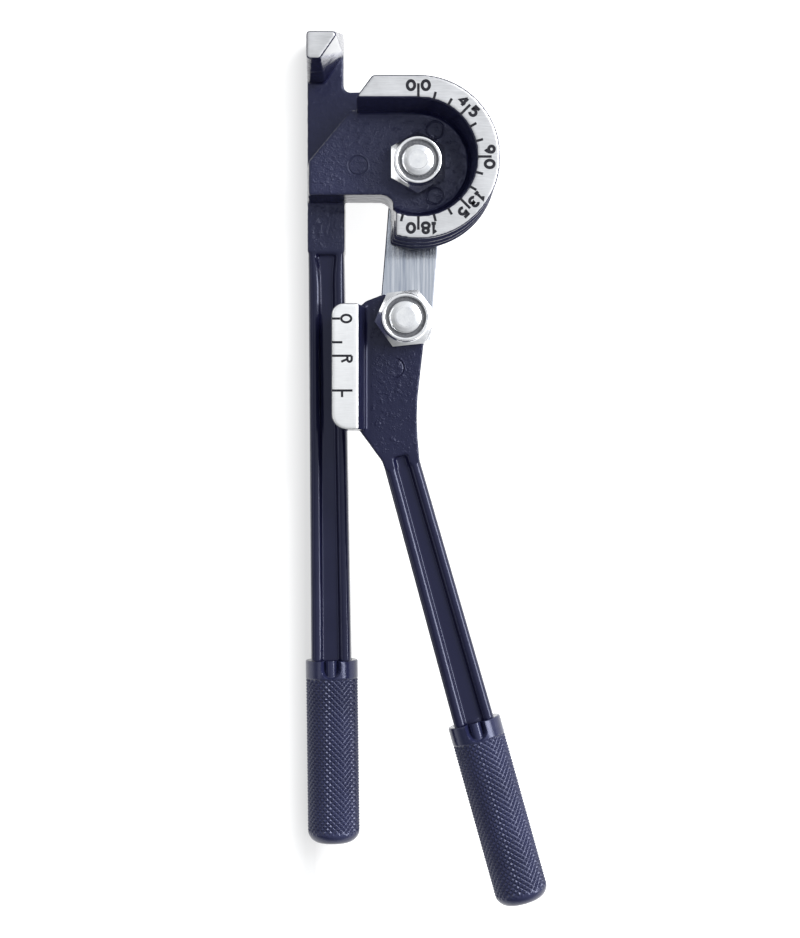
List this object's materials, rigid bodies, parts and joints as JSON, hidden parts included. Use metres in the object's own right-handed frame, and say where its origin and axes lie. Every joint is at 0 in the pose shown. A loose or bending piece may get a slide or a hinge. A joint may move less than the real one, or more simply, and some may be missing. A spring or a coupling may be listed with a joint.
{
  "type": "tube bender",
  "caption": "Hand tube bender with a grooved forming wheel and angle dial, a fixed hook, a swinging link and a shoe lever with grooves to match, on two knurled grips.",
  "frame": {"origin": "on the wheel pivot axis, at the flat of the wheel bolt head on which the tool lies", "axes": "+Z along the pivot axes toward the dial face, +Y along the main handle toward the hook, +X toward the wheel side"},
  "size_m": [0.0779, 0.2812, 0.0464],
  "materials": {
    "casting": "satin navy paint over a sand casting, with ground bare faces on dial, hook and shoe plate",
    "grip": "matte navy with a diamond knurl",
    "link_steel": "brushed along its length",
    "zinc_steel": "bright zinc plate",
    "lock_ring": "smooth nylon"
  },
  "bodies": {
    "frame": {"forming_handle": "casting", "main_grip": "grip", "wheel_bolt": "zinc_steel", "wheel_head_washer": "zinc_steel", "wheel_thrust_washer": "zinc_steel", "wheel_nut": "zinc_steel", "wheel_lock_ring": "lock_ring"},
    "link": {"link_bar": "link_steel", "shoe_bolt": "zinc_steel", "shoe_head_washer": "zinc_steel", "shoe_thrust_washer": "zinc_steel", "shoe_nut": "zinc_steel", "shoe_lock_ring": "lock_ring"},
    "lever": {"shoe_lever": "casting", "lever_grip": "grip"}
  },
  "joints": [
    {"name": "link_swing", "type": "hinge", "parent": "frame", "child": "link", "pos_m": [0, 0, 0.0115], "axis": [0, 0, 1], "range_deg": [-8, 194]},
    {"name": "lever_swing", "type": "hinge", "parent": "link", "child": "lever", "pos_m": [-0.00399, -0.04954, 0.0216], "axis": [0, 0, 1], "range_deg": [-100, 45]}
  ]
}
